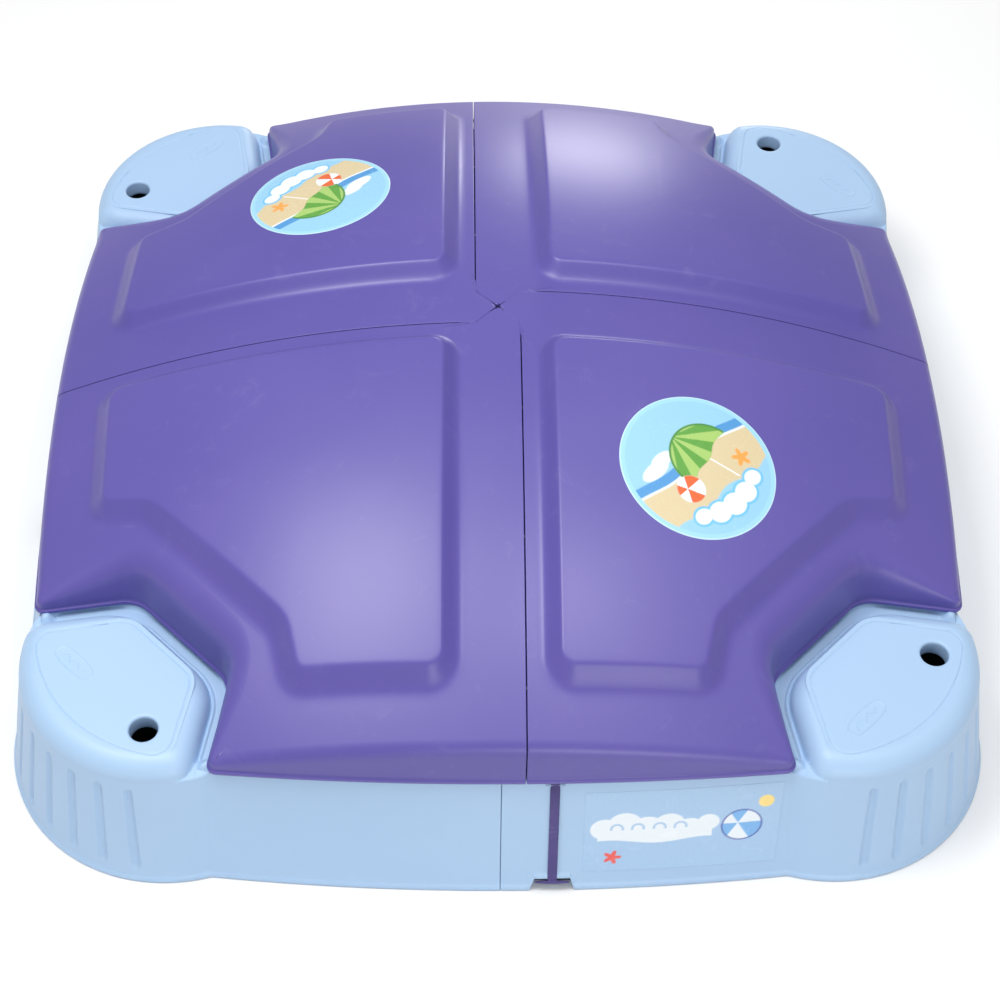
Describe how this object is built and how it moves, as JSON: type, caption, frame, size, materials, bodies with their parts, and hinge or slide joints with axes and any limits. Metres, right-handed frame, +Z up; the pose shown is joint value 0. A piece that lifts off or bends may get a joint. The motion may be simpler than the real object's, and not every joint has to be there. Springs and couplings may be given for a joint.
{
  "type": "sandbox with cover",
  "caption": "Square play sandbox with corner seats that hold a pole, and a domed lift-off cover held down by side straps.",
  "frame": {"origin": "centre of the footprint, on the ground", "axes": "+Z up, -Y the side shown to the front, +X to the right seen from the front"},
  "size_m": [1.214, 1.214, 0.3745],
  "materials": {
    "sand_box_plastic": "satin moulded polyethylene, light blue",
    "cover_plastic": "satin moulded polyethylene, violet",
    "plate_plastic": "satin moulded plate, violet",
    "strap_rubber": "smooth elastic rubber, dark violet",
    "steel_fixings": "zinc plated",
    "printed_film": "printed vinyl film with a plain seaside pattern"
  },
  "bodies": {
    "sand_box": {"base_section_front_left": "sand_box_plastic", "base_section_front_right": "sand_box_plastic", "base_section_back_right": "sand_box_plastic", "base_section_back_left": "sand_box_plastic", "floor_screws_front": "steel_fixings", "floor_screws_right": "steel_fixings", "floor_screws_back": "steel_fixings", "floor_screws_left": "steel_fixings", "wall_sticker": "printed_film"},
    "cover": {"cover_panel_front_left": "cover_plastic", "cover_panel_front_right": "cover_plastic", "cover_panel_back_right": "cover_plastic", "cover_panel_back_left": "cover_plastic", "cover_bolts_front": "steel_fixings", "cover_bolts_right": "steel_fixings", "cover_bolts_back": "steel_fixings", "cover_bolts_left": "steel_fixings", "cover_centre_plate": "plate_plastic", "centre_plate_screws": "steel_fixings", "strap_pins": "steel_fixings", "round_sticker_front_right": "printed_film", "round_sticker_back_left": "printed_film"},
    "strap_front_body": {"strap_front": "strap_rubber"},
    "strap_right_body": {"strap_right": "strap_rubber"},
    "strap_back_body": {"strap_back": "strap_rubber"},
    "strap_left_body": {"strap_left": "strap_rubber"}
  },
  "joints": [
    {"name": "cover_lift", "type": "slide", "parent": "sand_box", "child": "cover", "axis": [0, 0, 1], "range_m": [0, 0.4], "deforming": ["strap_front", "strap_right", "strap_back", "strap_left"]},
    {"name": "strap_front_swing", "type": "hinge", "parent": "cover", "child": "strap_front_body", "pos_m": [0.0605, -0.5605, 0.1675], "axis": [-1, 0, 0], "range_deg": [0, 85]},
    {"name": "strap_right_swing", "type": "hinge", "parent": "cover", "child": "strap_right_body", "pos_m": [0.5605, 0.0605, 0.1675], "axis": [0, -1, 0], "range_deg": [0, 85]},
    {"name": "strap_back_swing", "type": "hinge", "parent": "cover", "child": "strap_back_body", "pos_m": [-0.0605, 0.5605, 0.1675], "axis": [1, 0, 0], "range_deg": [0, 85]},
    {"name": "strap_left_swing", "type": "hinge", "parent": "cover", "child": "strap_left_body", "pos_m": [-0.5605, -0.0605, 0.1675], "axis": [0, 1, 0], "range_deg": [0, 85]}
  ]
}
